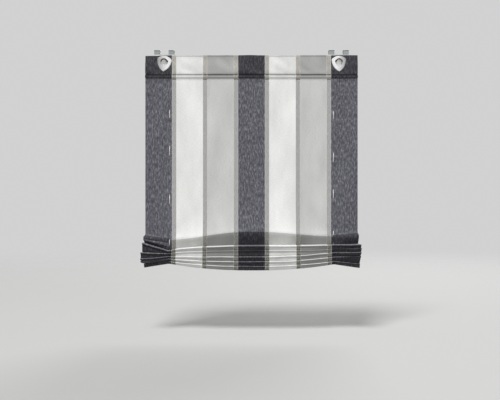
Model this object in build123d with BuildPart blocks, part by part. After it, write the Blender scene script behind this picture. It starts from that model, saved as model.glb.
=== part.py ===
from build123d import *
import os
from math import acos, atan2, ceil, cos, degrees, hypot, radians, sin, tan

# Striped roll-up blind. It hangs from two hooks over the top edge of a window sash and is drawn up
# in pleats on two lift cords.
# X runs to the viewer's right, -Y points into the room and +Z up. The origin lies midway between
# the hooks, on the sash's top edge (Z = 0) and on its room-side face (Y = 0).

# Cloth
blind_width = 800.0
stripe_count = 7
sheer_width = 16.5
cloth_thickness = 0.8
sheer_thickness = 0.4
sheer_margin = 6.0  # from the seam and the gather to the sheer strips' thin part
cloth_standoff = 7.5  # from the sash face to the back of the hanging cloth
heading_drop = 19.0  # from the sash edge down to the cloth's top edge
heading_height = 72.0  # from the cloth's top edge to the upper tunnel seam
tunnel_height = 16.0

# Gather, drawn up on the cords
flat_length = 593.0  # from the upper tunnel seam to where the cloth begins to tuck under
gather_height = 142.0
pleat_depth = 60.0
tuck_depth = 8.0  # how far the valleys reach behind the hanging cloth
pleat_radius = 3.0  # inside a pleat's front edge
belly_run = 60.0
belly_forward = 16.0
belly_forward_at_cord = 3.0
belly_radius = 10.0
belly_slope_degrees = 30.0
tuck_radius = 4.0
fold_facet_degrees = 45.0
swag_steps = 4
hem_forward = 12.0
hem_radius = 2.0
flare_degrees = {"left": 12.0, "right": 8.0}

# Places of the belly line, of the five pleat edges and of the hem, as shares of the gather's height
belly_shares = {"left_edge": 0.13, "left_cord": 0.2, "centre": 0.0, "right_cord": 0.06, "right_edge": 0.12}
pleat_shares = {
    "left_edge": (0.3, 0.514, 0.669, 0.768, 0.859),
    "left_cord": (0.444, 0.542, 0.627, 0.704, 0.782),
    "centre": (0.369, 0.486, 0.652, 0.782, 0.908),
    "right_cord": (0.349, 0.451, 0.553, 0.669, 0.785),
    "right_edge": (0.331, 0.43, 0.532, 0.641, 0.845),
}
hem_shares = {"left_edge": 0.937, "left_cord": 0.838, "centre": 1.0, "right_cord": 0.852, "right_edge": 0.944}
depth_shares = {
    "edge": (0.97, 0.67, 1.0, 0.92, 0.75),
    "cord": (0.7, 0.5, 0.7, 0.67, 0.63),
    "centre": (1.0, 0.57, 1.0, 0.97, 0.93),
}

# Header rod
rod_diameter = 8.0
rod_wall = 1.0
rod_end_setback = 10.0  # from the blind's edge to the rod's end cap
rod_clearance = 0.3
cap_plug_length = 10.0
cap_flange = 2.0
cap_clearance = 0.05

# Sash hooks
hook_edge_distance = 70.0  # from the blind's edge to the middle of the hook
hook_thickness = 1.5
throat_depth = 19.0  # thickness of the sash lip that the hook takes
lip_length = 12.0
arm_width = 21.0
arm_spacing = 54.4
notch_drop = 15.0
plate_drop = 52.0
plate_corner_radius = 8.0
notch_radius = 4.0
bend_outer_radius = 2.5
bend_inner_radius = 1.0
saddle_crown_drop = 34.0
saddle_radius = 10.0
saddle_wall = 1.8
saddle_lip_height = 3.0
saddle_lip_thickness = 1.5
saddle_lip_gap = 0.3  # from the eyelet's face to the lip
saddle_lip_share = 0.55  # of the saddle's radius, how low the lip reaches below the crown

# Eyelets, shaped like a pick with its point down
eyelet_width = 54.0
eyelet_height = 58.5
eyelet_hole_clearance = 1.5  # across the hole, so that it passes over the saddle's lip
eyelet_hole_height = 29.0
eyelet_top_rim = 12.0
eyelet_front_thickness = 3.2
eyelet_back_thickness = 1.6
eyelet_back_inset = 3.0
eyelet_outer_bevel = 2.2
eyelet_inner_bevel = 1.4
collar_wall = 1.5
collar_clearance = 0.1
eyelet_seat_clearance = 0.2
eyelet_tilt_degrees = {"left": -8.0, "right": 3.0}
corner_radius_share = 0.1  # of the outline's own width
shoulder_drop_share = 0.2  # shares of the width between the corners
side_bulge_share = 0.14

# Lift cords
cord_edge_distance = 91.5  # from the blind's edge to the cord
cord_diameter = 3.0
cord_facets = 6
cord_gap = 0.3
cord_hole_clearance = 0.25
cord_forward_in_gather = 4.0
knot_radius = 3.6
knot_gap = 0.9
tail_knot_radius = 3.8
stitch_length = 27.0
stitch_slope = 6.0  # half the height over which the cord passes through the cloth
stitch_drops = {"left": (206.0, 345.0, 529.0), "right": (210.0, 371.0, 508.0)}  # below the cloth's top edge
belly_pass_rise = 18.0  # above the belly line, where the cord lies behind the cloth again
run_below_stop = 74.0
run_above_tunnel = 16.0
tail_lean_run = 72.0
tail_set_back = 5.5
tail_end_drop = 752.0
arc_run_share = 0.45

# Cord stops
stop_below_tunnel = 11.0  # from the tunnel's lower seam to the middle of the stop
stop_standoff = 0.2
strand_spacing = 3.5
barrel_diameter = 12.0
barrel_bore = 8.0
barrel_open_end = 8.5  # places along the barrel are measured from the cords
barrel_bore_end = 12.0
barrel_wall = 2.0
barrel_chamfer = 1.0
plunger_clearance = 0.2
plunger_inner_end = 5.0
plunger_stand_out = 4.0
plunger_chamfer = 1.2
press_travel = 3.0
cord_slot_clearance = 0.3
grip_clearance = 0.1
spring_wire = 0.6
spring_diameter = 5.6
spring_turns = 4
spring_facets = 10
spring_end_gap = 0.2

overrun = 5.0  # past the face, for every cut

# Derived places
rod_length = blind_width - 2 * (rod_end_setback + cap_flange)
hook_x = blind_width / 2 - hook_edge_distance
cord_x = blind_width / 2 - cord_edge_distance
eyelet_hole_width = 2 * (saddle_radius + saddle_lip_height) + eyelet_hole_clearance
cloth_top_z = -heading_drop
upper_seam_z = cloth_top_z - heading_height
tunnel_z = upper_seam_z - tunnel_height / 2
lower_seam_z = upper_seam_z - tunnel_height
gather_top_z = upper_seam_z - flat_length
stop_drop = stop_below_tunnel - lower_seam_z
saddle_z = -saddle_crown_drop - saddle_radius
cord_radius = cord_diameter / 2
bulge_radius_inside = rod_diameter / 2 + rod_clearance
heading_back_y = -cloth_standoff + cloth_thickness
heading_front_y = -cloth_standoff - cloth_thickness
eyelet_front_y = heading_front_y - eyelet_front_thickness
eyelet_back_y = heading_back_y + eyelet_back_thickness
saddle_front_y = eyelet_front_y - saddle_lip_gap - saddle_lip_thickness
sides = {"left": -1, "right": 1}


def cloth_y(forward):
    """Row-frame Y of a place that lies forward of the back of the hanging cloth."""
    return -cloth_standoff - forward


# The gather's shape, station by station across the width


def blend(first, second, share):
    return tuple(a + (b - a) * share for a, b in zip(first, second))


def shares_at(x):
    """Belly, pleat, hem and depth shares at a place across: a swag between the cords, straight beyond."""
    side = "left" if x < 0 else "right"
    at_cord = (belly_shares[side + "_cord"], *pleat_shares[side + "_cord"], hem_shares[side + "_cord"])
    if abs(x) <= cord_x:
        inward = 1 - (x / cord_x) ** 2
        at_centre = (belly_shares["centre"], *pleat_shares["centre"], hem_shares["centre"])
        depths = blend(depth_shares["cord"], depth_shares["centre"], inward)
        return blend(at_cord, at_centre, inward), depths, inward
    outward = (abs(x) - cord_x) / (blind_width / 2 - cord_x)
    at_edge = (belly_shares[side + "_edge"], *pleat_shares[side + "_edge"], hem_shares[side + "_edge"])
    depths = blend(depth_shares["cord"], depth_shares["edge"], outward)
    return blend(at_cord, at_edge, outward), depths, 0


def gather_at(x):
    """Heights of the belly, the pleat edges and the hem, the pleats' depths and the belly's bulge at x."""
    (belly, *pleats, hem), depths, away_from_cord = shares_at(x)
    heights = [gather_top_z - gather_height * share for share in (belly, *pleats, hem)]
    bulge = belly_forward_at_cord + (belly_forward - belly_forward_at_cord) * away_from_cord
    return heights[0], heights[1:-1], heights[-1], [pleat_depth * share for share in depths], bulge


def bend(centre, radius, start, turn):
    """Points of a fold's rounded edge about its centre, from a start angle through a turn, in degrees."""
    steps = ceil(abs(turn) / fold_facet_degrees)
    angles = [radians(start + turn * step / steps) for step in range(steps + 1)]
    return [(centre[0] + radius * cos(angle), centre[1] + radius * sin(angle)) for angle in angles]


def cloth_face_points(x, forward):
    """One face of the cloth, lower seam to hem, forward of its back face, in (depth, height)."""
    belly_z, pleat_z, hem_z, depths, bulge = gather_at(x)
    radius = pleat_radius + forward
    edge_centres = [depth - pleat_radius - cloth_thickness for depth in depths]
    tuck_z = pleat_z[0] + pleat_radius + tuck_radius
    points = [(forward, lower_seam_z), (forward, belly_z + belly_run)]
    belly_centre = (bulge - belly_radius, belly_z)
    points += bend(belly_centre, belly_radius + forward, belly_slope_degrees, -2 * belly_slope_degrees)
    points += bend((tuck_radius - tuck_depth, tuck_z), tuck_radius - forward, 180, 90)
    for number, (height, centre) in enumerate(zip(pleat_z, edge_centres)):
        points += bend((centre, height), radius, 90, -180)
        if number + 1 < len(pleat_z):
            below = pleat_z[number + 1]
            valley_radius = (height - below) / 2 - pleat_radius
            valley_centre = (valley_radius - tuck_depth, (height + below) / 2)
            points += bend(valley_centre, valley_radius - forward, 90, 180)
    hem_bend = hem_radius + cloth_thickness
    hem_centre = (hem_forward + hem_bend, pleat_z[-1] - pleat_radius - hem_bend)
    points += bend(hem_centre, hem_bend - forward, 90, 90)
    points.append((hem_forward + forward, hem_z))
    return points


def heading_points(face):
    """The heading's outer line, front (face 1) or back (face -1), from the lower seam to the top."""
    depth = face * cloth_thickness
    radius = bulge_radius_inside + cloth_thickness
    seam = hypot(cloth_thickness, tunnel_height / 2)
    tangent = degrees(atan2(tunnel_height / 2, cloth_thickness) - acos(radius / seam))
    rod_bend = bend((0, tunnel_z), radius, -tangent, 2 * tangent)
    around_rod = [(face * across, height) for across, height in rod_bend]
    return [(depth, lower_seam_z), *around_rod, (depth, upper_seam_z), (depth, cloth_top_z)]


def section_plane(x):
    """Upright plane across the cloth at x; at the blind's edges it fans outwards with the pleats."""
    flare = 0
    if abs(x) == blind_width / 2:
        flare = -flare_degrees["left"] if x < 0 else flare_degrees["right"]
    forward = Vector(sin(radians(flare)), -cos(radians(flare)), 0)
    return Plane(origin=(x, cloth_y(0), 0), x_dir=forward, z_dir=forward.cross(Vector(0, 0, 1)))


def cloth_section(x):
    """Closed cross-section of the cloth: double heading with the rod tunnel, then one layer to the hem."""
    up_the_front = cloth_face_points(x, cloth_thickness)[::-1] + heading_points(1)[1:]
    down_the_back = heading_points(-1)[::-1] + cloth_face_points(x, 0)
    with BuildSketch(section_plane(x)) as section:
        with BuildLine():
            Polyline(*up_the_front, *down_the_back, close=True)
        make_face()
    return section.sketch


def stations():
    """Places across the blind where its cross-section is drawn: edges, cords and the swag between."""
    swag = [cord_x * (2 * step / swag_steps - 1) for step in range(swag_steps + 1)]
    return [-blind_width / 2, *swag, blind_width / 2]


def sheer_strips():
    """Left edge of each sheer strip between two stripes."""
    stripe_width = (blind_width - (stripe_count - 1) * sheer_width) / stripe_count
    pitch = stripe_width + sheer_width
    return [number * pitch - blind_width / 2 - sheer_width for number in range(1, stripe_count)]


# Outline of the eyelets


def pick_outline(width, height, top):
    """Pick-shaped face, point down, its top above the sketch's origin: sharp, then rounded by growing."""
    corner, half_width, shoulder = pick_corners(width)
    sharp_top, sharp_height = top - corner, height - 2 * corner
    side_angle = atan2(sharp_height - shoulder, half_width)
    bulge = 2 * side_bulge_share * half_width
    middle_x = half_width / 2 + bulge * sin(side_angle)
    middle_y = sharp_top - (shoulder + sharp_height) / 2 - bulge * cos(side_angle)
    right, left = (half_width, sharp_top - shoulder), (-half_width, sharp_top - shoulder)
    tip = (0, sharp_top - sharp_height)
    with BuildSketch() as outline:
        with BuildLine():
            ThreePointArc(left, (0, sharp_top), right)
            ThreePointArc(right, (middle_x, middle_y), tip)
            ThreePointArc(tip, (-middle_x, middle_y), left)
        make_face()
        offset(amount=corner)
    return outline.sketch


def pick_corners(width):
    """Corner radius of the outline, then half the width and the shoulders' drop between its sharp corners."""
    corner = corner_radius_share * width
    half_width = width / 2 - corner
    return corner, half_width, 2 * shoulder_drop_share * half_width


def eyelet_plane(side, y):
    """Plane at y, facing the room, centred on the round top of the eyelet's hole and tilted with it."""
    top_radius = pick_top_radius(eyelet_hole_width)
    top_z = -saddle_crown_drop + eyelet_seat_clearance
    tilt = radians(eyelet_tilt_degrees[side])
    origin = (sides[side] * hook_x, y, top_z - top_radius)
    return Plane(origin=origin, x_dir=(cos(tilt), 0, sin(tilt)), z_dir=(0, -1, 0))


def pick_top_radius(width):
    corner, half_width, shoulder = pick_corners(width)
    return (half_width**2 + shoulder**2) / (2 * shoulder) + corner


def hole_outline():
    return pick_outline(eyelet_hole_width, eyelet_hole_height, pick_top_radius(eyelet_hole_width))


def rim_outline():
    return pick_outline(eyelet_width, eyelet_height, pick_top_radius(eyelet_hole_width) + eyelet_top_rim)


# Route of the lift cords


def cord_route(side):
    """Points of one cord: from the lowest pleat up through the cloth, over the saddle, down its tail."""
    sign = sides[side]
    belly_z, pleat_z, _, _, _ = gather_at(sign * cord_x)
    x = sign * cord_x
    inside_y = cloth_y(cord_forward_in_gather)
    behind_y = cloth_y(-cord_gap - cord_radius)
    front_y = cloth_y(cloth_thickness + cord_gap + cord_radius)
    loop = saddle_radius + cord_gap + cord_radius
    rise_x = sign * (hook_x - loop)
    fall_x = sign * (hook_x + loop)
    tail_x = rise_x + sign * strand_spacing
    loop_y = -hook_thickness - cord_gap - cord_radius
    loop_z = saddle_z + loop
    points = [
        (x, inside_y, pleat_z[-1] + pleat_radius - knot_gap - knot_radius),
        (x, inside_y, belly_z - cord_forward_in_gather),
        (x, behind_y, belly_z + belly_pass_rise),
    ]
    for drop in reversed(stitch_drops[side]):
        top_z = cloth_top_z - drop
        bottom_z = top_z - stitch_length
        points += [
            (x, behind_y, bottom_z - stitch_slope),
            (x, front_y, bottom_z + stitch_slope),
            (x, front_y, top_z - stitch_slope),
            (x, behind_y, top_z + stitch_slope),
        ]
    stop_z = -stop_drop
    run_below = stop_z - run_below_stop
    run_above = tunnel_z + run_above_tunnel
    points += [
        (rise_x, stop_standoff, run_below),
        (rise_x, stop_standoff, run_above),
        (rise_x, loop_y, saddle_z - saddle_radius),
        (rise_x, loop_y, loop_z),
        (fall_x, loop_y, loop_z),
        (fall_x, loop_y, saddle_z - saddle_radius),
        (tail_x, stop_standoff, run_above),
        (tail_x, stop_standoff, run_below),
        (tail_x, stop_standoff + tail_set_back, run_below - tail_lean_run),
        (tail_x, stop_standoff + tail_set_back, -tail_end_drop),
    ]
    return [Vector(*point) for point in points]


def route_radii(points):
    """Radius at each corner: as large as its two runs allow."""
    radii = []
    for before, corner, after in zip(points, points[1:], points[2:]):
        shorter = min((corner - before).length, (after - corner).length)
        half_turn = radians((corner - before).get_angle(after - corner)) / 2
        radii.append(arc_run_share * shorter / tan(half_turn))
    return radii


def cord_tube(side, radius):
    """Tube along a cord's route, added to or cut from the part that is being built."""
    points = cord_route(side)
    with BuildLine() as route:
        FilletPolyline(*points, radius=route_radii(points))
    with BuildSketch(Plane(origin=points[0], z_dir=points[1] - points[0])) as section:
        RegularPolygon(radius, side_count=cord_facets)
    return route.line, section.sketch


# Parts


def make_fabric_panel():
    with BuildPart() as fabric_panel:
        loft([cloth_section(x) for x in stations()], ruled=True)
        sheer_top = lower_seam_z - sheer_margin
        sheer_bottom = gather_top_z + belly_run + sheer_margin
        with BuildSketch(Plane(origin=(0, cloth_y(cloth_thickness), 0), x_dir=(1, 0, 0), z_dir=(0, 1, 0))):
            for left in sheer_strips():
                with Locations((left + sheer_width / 2, -(sheer_top + sheer_bottom) / 2)):
                    Rectangle(sheer_width, sheer_top - sheer_bottom)
        extrude(amount=cloth_thickness - sheer_thickness, mode=Mode.SUBTRACT)
        with BuildSketch(Plane.YZ.offset(-blind_width / 2 - overrun)):
            with Locations((cloth_y(0), tunnel_z)):
                Circle(bulge_radius_inside)
        extrude(amount=blind_width + 2 * overrun, mode=Mode.SUBTRACT)
        for side in sides:
            with BuildSketch(eyelet_plane(side, heading_back_y + overrun)):
                offset(hole_outline(), amount=collar_wall + collar_clearance)
            extrude(amount=2 * overrun + 2 * cloth_thickness, mode=Mode.SUBTRACT)
        for side in sides:
            path, section = cord_tube(side, cord_radius + cord_hole_clearance)
            sweep(sections=section, path=path, mode=Mode.SUBTRACT)
    fabric_panel.part.label = "fabric_panel"
    return fabric_panel.part


def make_header_rod():
    with BuildPart() as header_rod:
        with BuildSketch(Plane.YZ.offset(-rod_length / 2)):
            with Locations((cloth_y(0), tunnel_z)):
                Circle(rod_diameter / 2)
                Circle(rod_diameter / 2 - rod_wall, mode=Mode.SUBTRACT)
        extrude(amount=rod_length)
    header_rod.part.label = "header_rod"
    return header_rod.part


def make_rod_end_cap(side):
    sign = sides[side]
    end = Plane(origin=(sign * rod_length / 2, cloth_y(0), tunnel_z), z_dir=(sign, 0, 0))
    with BuildPart() as rod_end_cap:
        with BuildSketch(end):
            Circle(rod_diameter / 2)
        extrude(amount=cap_flange)
        with BuildSketch(end):
            Circle(rod_diameter / 2 - rod_wall - cap_clearance)
        extrude(amount=-cap_plug_length)
    rod_end_cap.part.label = f"rod_end_cap_{side}"
    return rod_end_cap.part


def make_sash_hook(side):
    x = sides[side] * hook_x
    face = Plane(origin=(x, 0, 0), x_dir=(1, 0, 0), z_dir=(0, -1, 0))
    half_width = arm_spacing / 2 + arm_width / 2
    notch_half = arm_spacing / 2 - arm_width / 2
    inside_top = throat_depth + hook_thickness
    with BuildPart() as sash_hook:
        with BuildSketch(face):
            with BuildLine():
                Polyline(
                    (-half_width, -hook_thickness),
                    (-half_width, -plate_drop),
                    (half_width, -plate_drop),
                    (half_width, -hook_thickness),
                    (notch_half, -hook_thickness),
                    (notch_half, -notch_drop),
                    (-notch_half, -notch_drop),
                    (-notch_half, -hook_thickness),
                    close=True,
                )
            plate = make_face()
            low_corners = plate.vertices().group_by(Axis.Y)[0]
            notch_corners = plate.vertices().group_by(Axis.Y)[1]
            fillet(low_corners, radius=plate_corner_radius)
            fillet(notch_corners, radius=notch_radius)
        extrude(amount=hook_thickness)
        for arm in (-1, 1):
            with BuildSketch(Plane.YZ.offset(x + arm * arm_spacing / 2)):
                with BuildLine():
                    Polyline(
                        (-hook_thickness, -hook_thickness * 2),
                        (-hook_thickness, hook_thickness),
                        (inside_top, hook_thickness),
                        (inside_top, -lip_length),
                        (throat_depth, -lip_length),
                        (throat_depth, 0),
                        (0, 0),
                        (0, -hook_thickness * 2),
                        close=True,
                    )
                strip = make_face()
                outer_bends = strip.vertices().group_by(Axis.Y)[-1]
                inner_bends = strip.vertices().group_by(Axis.Y)[-2]
                fillet(outer_bends, radius=bend_outer_radius)
                fillet(inner_bends, radius=bend_inner_radius)
            extrude(amount=arm_width / 2, both=True)
        saddle_length = -hook_thickness - saddle_front_y
        with BuildSketch(face.offset(hook_thickness)):
            with Locations((0, saddle_z)):
                Circle(saddle_radius)
                Circle(saddle_radius - saddle_wall, mode=Mode.SUBTRACT)
                with Locations((0, -saddle_radius)):
                    Rectangle(4 * saddle_radius, 2 * saddle_radius, mode=Mode.SUBTRACT)
        extrude(amount=saddle_length)
        with BuildSketch(face.offset(-saddle_front_y)):
            with Locations((0, saddle_z)):
                Circle(saddle_radius + saddle_lip_height)
                Circle(saddle_radius - saddle_wall, mode=Mode.SUBTRACT)
                with Locations((0, -saddle_radius * (1 + saddle_lip_share))):
                    Rectangle(4 * saddle_radius, 4 * saddle_radius, mode=Mode.SUBTRACT)
        extrude(amount=-saddle_lip_thickness)
    sash_hook.part.label = f"sash_hook_{side}"
    return sash_hook.part


def make_eyelet_front(side):
    bevel_y = eyelet_front_y + eyelet_outer_bevel
    hole_bevel_y = eyelet_front_y + eyelet_inner_bevel
    with BuildPart() as eyelet_front:
        with BuildSketch(eyelet_plane(side, heading_front_y)):
            add(rim_outline())
        extrude(amount=heading_front_y - bevel_y)
        with BuildSketch(eyelet_plane(side, bevel_y)):
            add(rim_outline())
        with BuildSketch(eyelet_plane(side, eyelet_front_y)):
            offset(rim_outline(), amount=-eyelet_outer_bevel)
        loft(ruled=True)
        with BuildSketch(eyelet_plane(side, eyelet_back_y)):
            offset(hole_outline(), amount=collar_wall)
        extrude(amount=eyelet_back_y - heading_front_y)
        with BuildSketch(eyelet_plane(side, eyelet_back_y + overrun)):
            add(hole_outline())
        extrude(amount=2 * overrun + eyelet_back_y - eyelet_front_y, mode=Mode.SUBTRACT)
        with BuildSketch(eyelet_plane(side, hole_bevel_y)):
            add(hole_outline())
        with BuildSketch(eyelet_plane(side, eyelet_front_y)):
            offset(hole_outline(), amount=eyelet_inner_bevel)
        loft(ruled=True, mode=Mode.SUBTRACT)
    eyelet_front.part.label = f"eyelet_front_{side}"
    return eyelet_front.part


def make_eyelet_back(side):
    with BuildPart() as eyelet_back:
        with BuildSketch(eyelet_plane(side, eyelet_back_y)):
            offset(rim_outline(), amount=-eyelet_back_inset)
        extrude(amount=eyelet_back_thickness)
        with BuildSketch(eyelet_plane(side, eyelet_back_y + overrun)):
            offset(hole_outline(), amount=collar_wall + collar_clearance)
        extrude(amount=2 * overrun + eyelet_back_thickness, mode=Mode.SUBTRACT)
    eyelet_back.part.label = f"eyelet_back_{side}"
    return eyelet_back.part


def make_lift_cord(side):
    points = cord_route(side)
    with BuildPart() as lift_cord:
        path, section = cord_tube(side, cord_radius)
        sweep(sections=section, path=path)
        for place, radius in ((points[0], knot_radius), (points[-1], tail_knot_radius)):
            with BuildSketch(Plane(origin=place, z_dir=(0, 0, 1))):
                RegularPolygon(radius, side_count=cord_facets)
            extrude(amount=radius, both=True)
    lift_cord.part.label = f"lift_cord_{side}"
    return lift_cord.part


def stop_plane(side, along):
    """Plane square to a stop's barrel, along it towards the blind's edge from the middle of its cords."""
    sign = sides[side]
    middle = hook_x - saddle_radius - cord_gap - cord_radius + strand_spacing / 2
    origin = (sign * (middle + along), stop_standoff, -stop_drop)
    return Plane(origin=origin, x_dir=(0, 0, 1), z_dir=(sign, 0, 0))


def cord_slot(side, inner, outer):
    """Slot for the two strands through a stop, from inner to outer along the barrel."""
    width = cord_diameter + 2 * cord_slot_clearance
    middle = stop_plane(side, (inner + outer) / 2)
    with BuildSketch(Plane(origin=middle.origin, x_dir=(1, 0, 0), z_dir=(0, 0, 1))) as slot:
        SlotOverall(outer - inner, width)
    extrude(slot.sketch, amount=barrel_diameter, both=True, mode=Mode.SUBTRACT)


def make_stop_barrel(side):
    bundle_half = strand_spacing / 2 + cord_radius + cord_slot_clearance
    with BuildPart() as stop_barrel:
        with BuildSketch(stop_plane(side, -barrel_bore_end - barrel_wall)):
            Circle(barrel_diameter / 2)
        extrude(amount=barrel_bore_end + barrel_wall + barrel_open_end)
        chamfer(stop_barrel.edges().filter_by(GeomType.CIRCLE), length=barrel_chamfer)
        with BuildSketch(stop_plane(side, -barrel_bore_end)):
            Circle(barrel_bore / 2)
        extrude(amount=barrel_bore_end + barrel_open_end + overrun, mode=Mode.SUBTRACT)
        cord_slot(side, -bundle_half, bundle_half)
    stop_barrel.part.label = f"stop_barrel_{side}"
    return stop_barrel.part


def make_stop_plunger(side):
    bundle_half = strand_spacing / 2 + cord_radius + grip_clearance
    with BuildPart() as stop_plunger:
        with BuildSketch(stop_plane(side, -plunger_inner_end)):
            Circle(barrel_bore / 2 - plunger_clearance)
        extrude(amount=plunger_inner_end + barrel_open_end + plunger_stand_out)
        rims = stop_plunger.edges().filter_by(GeomType.CIRCLE).sort_by(Axis.X)
        outer_rim = rims[-1 if side == "right" else 0]
        chamfer(outer_rim, length=plunger_chamfer)
        cord_slot(side, -bundle_half, bundle_half + press_travel)
    stop_plunger.part.label = f"stop_plunger_{side}"
    return stop_plunger.part


def make_stop_spring(side):
    start = stop_plane(side, -barrel_bore_end + spring_end_gap + spring_wire / 2)
    height = barrel_bore_end - plunger_inner_end - 2 * spring_end_gap - spring_wire
    corners = spring_turns * spring_facets
    points = []
    for corner in range(corners + 1):
        angle = radians(corner * 360 / spring_facets)
        radius = spring_diameter / 2
        corner_place = (radius * cos(angle), radius * sin(angle), height * corner / corners)
        points.append(start.from_local_coords(corner_place))
    with BuildPart() as stop_spring:
        with BuildLine() as coil:
            Polyline(*points)
        with BuildSketch(Plane(origin=points[0], z_dir=points[1] - points[0])):
            Rectangle(spring_wire, spring_wire)
        sweep(path=coil.line, transition=Transition.RIGHT)
    stop_spring.part.label = f"stop_spring_{side}"
    return stop_spring.part


def main():
    parts = [make_fabric_panel(), make_header_rod()]
    for side in sides:
        parts += [
            make_rod_end_cap(side),
            make_sash_hook(side),
            make_eyelet_front(side),
            make_eyelet_back(side),
            make_lift_cord(side),
            make_stop_barrel(side),
            make_stop_plunger(side),
            make_stop_spring(side),
        ]
        print(side, "cord radii", [round(radius, 1) for radius in route_radii(cord_route(side))])
    os.makedirs("parts", exist_ok=True)
    for part in parts:
        export_step(part, f"parts/{part.label}.step")


main()
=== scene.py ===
"""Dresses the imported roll-up blind: striped cloth, cords, seams and materials, in metres."""
import math
import random

import bmesh
import bpy
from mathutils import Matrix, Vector, noise


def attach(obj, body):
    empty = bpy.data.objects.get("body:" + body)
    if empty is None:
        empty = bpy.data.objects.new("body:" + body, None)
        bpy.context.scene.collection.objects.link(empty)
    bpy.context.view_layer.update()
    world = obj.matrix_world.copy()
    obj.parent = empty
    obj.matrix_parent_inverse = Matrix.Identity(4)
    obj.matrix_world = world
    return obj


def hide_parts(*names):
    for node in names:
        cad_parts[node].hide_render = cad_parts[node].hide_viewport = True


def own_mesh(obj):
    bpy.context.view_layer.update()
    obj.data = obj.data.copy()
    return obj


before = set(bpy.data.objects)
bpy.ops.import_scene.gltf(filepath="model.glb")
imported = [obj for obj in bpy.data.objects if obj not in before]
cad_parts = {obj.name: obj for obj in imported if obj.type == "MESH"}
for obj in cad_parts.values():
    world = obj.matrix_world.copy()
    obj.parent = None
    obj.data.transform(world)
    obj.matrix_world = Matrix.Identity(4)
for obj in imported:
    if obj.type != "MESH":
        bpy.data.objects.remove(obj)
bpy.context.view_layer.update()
MM = 0.001
SIDES = {"left": -1, "right": 1}

# Cloth in millimetres, as in the CAD model, with heights from the sash's top edge
WIDTH = 800.0
STRIPES = 7
SHEER = 16.5
SELVEDGE = 1.0
STANDOFF = 7.5
LAYER = 0.8
SHOWN_THICKNESS = 0.7
TOP_Z = -19.0
UPPER_SEAM = -91.0
TUNNEL_Z = -99.0
LOWER_SEAM = -107.0
GATHER_TOP = -684.0
GATHER = 142.0
TUNNEL_RADIUS = 4.7
CORD_X = 308.5
FLARE = {"left": 12.0, "right": 8.0}  # degrees by which the pleats fan out beyond the cords

# Eyelets, the holes for them in the heading, and where their silver's painted reflection turns from bright to
# painted grey shade
EYELET_X = 330.0
HOLE_Z = -50.0
HOLE_RADIUS = 17.0
HOLE_SQUASH = 0.9
SILVER_SHADE_TURN = (-10.0, 22.0)

# Heading: profile of its bulging lower part as (forward, height), its groove and its left corner's droop
ROLL_TOP = -36.0
ROLL_PROFILE = (
    (0.4, -44),
    (0.8, -52),
    (1.1, -60),
    (1.4, -68),
    (1.6, -75),
    (1.8, -81),
    (1.8, -85),
    (1.3, -88),
    (0.5, -90.2),
)
ROLL = 1.05
LEAST_ROLL = 0.1
ROLL_FROM_EYELET = 24.0
RIPPLE_FROM_EYELET = 34.0
EYELET_RUN = 40.0
GROOVE_DROP = 0.4  # from the upper seam
TUNNEL_START_OUT = 1.5
TUNNEL_START_DROP = 2.6
HEADING_TAIL = 4.0
DROOP = 3.0
DROOP_START = 300.0
DROOP_RUN = 100.0

# Gather: heights of the belly, the pleat edges and the hem as shares of the gather's height
PLEATS = {
    "left_edge": (0.3, 0.54, 0.695, 0.765, 0.868),
    "left_cord": (0.52, 0.585, 0.655, 0.72, 0.785),
    "centre": (0.369, 0.486, 0.652, 0.782, 0.908),
    "right_cord": (0.349, 0.451, 0.553, 0.669, 0.785),
    "right_edge": (0.331, 0.43, 0.532, 0.641, 0.845),
}
BELLY = {"left_edge": 0.15, "left_cord": 0.22, "centre": -0.005, "right_cord": 0.13, "right_edge": 0.12}
HEM = {"left_edge": 0.945, "left_cord": 0.838, "centre": 1.0, "right_cord": 0.852, "right_edge": 0.944}

# Gather: how far its pleats, belly and tuck lie forward, and the run above the belly, in millimetres
PLEAT_DEPTH = {
    "left_edge": (40, 55, 59, 54, 16),
    "left_cord": (26, 24, 26, 25, 23),
    "centre": (47, 44, 49, 48, 46),
    "right_cord": (30, 27, 29, 27, 24),
    "right_edge": (54, 57, 55, 46, 32),
}
BULGE = {"left_edge": 24, "left_cord": 2, "centre": 17, "right_cord": 3, "right_edge": 19}
BELLY_RUN = {"left_edge": 14, "left_cord": 10, "centre": 170, "right_cord": 10, "right_edge": 22}
TUCK_DEPTH = {"left_edge": 12, "left_cord": 0, "centre": -3, "right_cord": 0, "right_edge": 8}
CREASE = {"left": 6.0, "right": 0.0}
CREASE_SHARES = (1.0, 0.3, 0.0)
CREASE_RUN = 40.0

# Gather: how soon it changes from a cord towards the blind's middle
TOP_PLEATS = 2  # that change by the power below
TOP_PLEATS_POWER = 0.55
BELLY_POWER = 2
DEPTH_RATE = 1.7

# Belly: its line as shares of the bulge and of the run above it
SHOULDER_OUT_SHARE = 0.82
SHOULDER_RISE_SHARE = 0.36
SHOULDER_RISE = 10.0
CORNER_OUT_SHARE = 1.08
PULL_OUT_SHARE = 0.1
PULL_RISE_SHARE = 0.45
UNDERSIDE_SHARE = 0.3

# Pleats and hem in millimetres
PLEAT_RADIUS = 2.3
EDGE_TURN = -140
VALLEY_RADIUS = 0.6
VALLEY_DEPTH = -5.0
BOTTOM_RADIUS = 0.8
LEDGE_RISE = -0.5
UNDERCUT = 4.0
UNDERCUT_DROP = 3.6
FACE_GAP = (1.5, 4.0, 4.0, 4.0)
HEM_RADIUS = 1.0
HEM_TURN_UP = 6.0

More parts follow.
